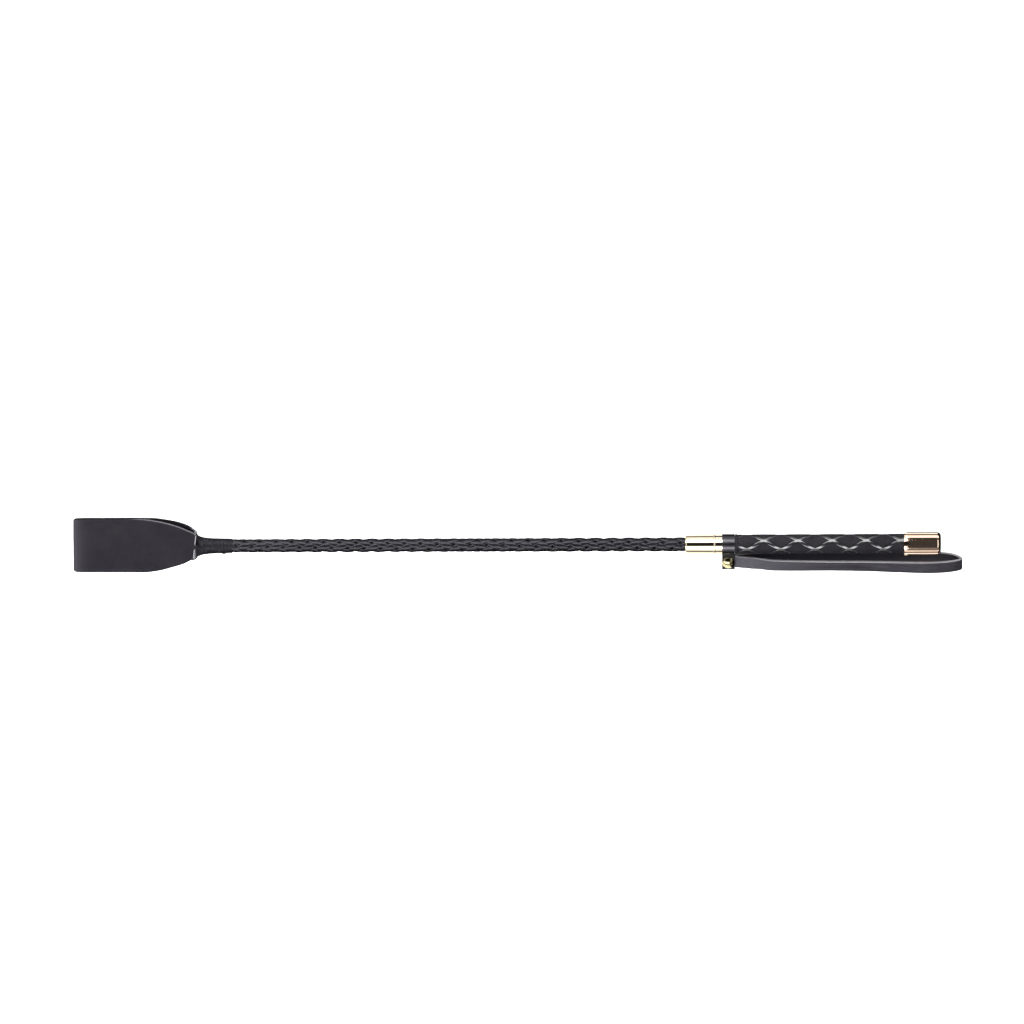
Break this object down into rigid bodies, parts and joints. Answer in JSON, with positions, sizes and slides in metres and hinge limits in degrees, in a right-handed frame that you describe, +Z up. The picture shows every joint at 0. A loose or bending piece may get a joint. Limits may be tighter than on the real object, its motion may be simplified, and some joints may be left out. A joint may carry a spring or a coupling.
{
  "type": "riding crop",
  "caption": "Riding crop with a folded leather flapper, braided shaft, gold ferrule, embossed grip, capped pommel and riveted wrist strap.",
  "frame": {"origin": "centre of the pommel's flat end face, on the shaft's axis", "axes": "+X along the shaft, out of the pommel's end; +Z up as the crop lies; the wrist strap lies on the -Y side"},
  "size_m": [0.6662, 0.0452, 0.0174],
  "materials": {
    "glass_fibre": "pultruded glass-fibre rod, satin",
    "thread_underlay": "black waxed thread, matt",
    "braid_leather": "black laces, slightly shiny on their crowns",
    "flapper_leather": "black leather, matt and fine grained, with paler cut edges",
    "whipping_thread": "black waxed thread, matt",
    "gold_metal": "pale gold plate, polished",
    "rose_gold_metal": "rose gold plate, polished",
    "rivet_metal": "antique gold plate, polished",
    "handle_plastic": "black moulded plastic",
    "grip_leather": "black leather, matt diamonds between glossy pressed bands",
    "strap_leather": "black leather, smooth, with paler cut edges"
  },
  "bodies": {
    "crop": {"shaft_core": "glass_fibre", "shaft_sheath": "thread_underlay", "braided_cover": "braid_leather", "flapper_tongues": "flapper_leather", "tip_whipping": "whipping_thread", "ferrule": "gold_metal", "ferrule_bushing": "handle_plastic", "ferrule_bead": "gold_metal", "ferrule_sleeve": "gold_metal", "handle_core": "handle_plastic", "grip_front_ring": "grip_leather", "grip_cover": "grip_leather", "pommel_plug": "handle_plastic", "pommel_cap": "rose_gold_metal"},
    "flapper": {"flapper": "flapper_leather"},
    "strap_collar": {"collar_band": "strap_leather", "rivet_post": "rivet_metal", "rivet_cap": "rivet_metal"},
    "wrist_strap": {"wrist_strap": "strap_leather"}
  },
  "joints": [
    {"name": "flapper_flex", "type": "hinge", "parent": "crop", "child": "flapper", "pos_m": [-0.558, 0, 0], "axis": [0, 1, 0], "range_deg": [-45, 45], "stiffness_Nm_per_rad": 0.15, "springref_deg": 2.01},
    {"name": "collar_turn", "type": "hinge", "parent": "crop", "child": "strap_collar", "pos_m": [-0.1592, 0, 0], "axis": [1, 0, 0], "continuous": true},
    {"name": "strap_swing", "type": "hinge", "parent": "strap_collar", "child": "wrist_strap", "pos_m": [-0.1592, -0.0158, 0], "axis": [0, 0, 1], "range_deg": [-177, 0.5]}
  ]
}
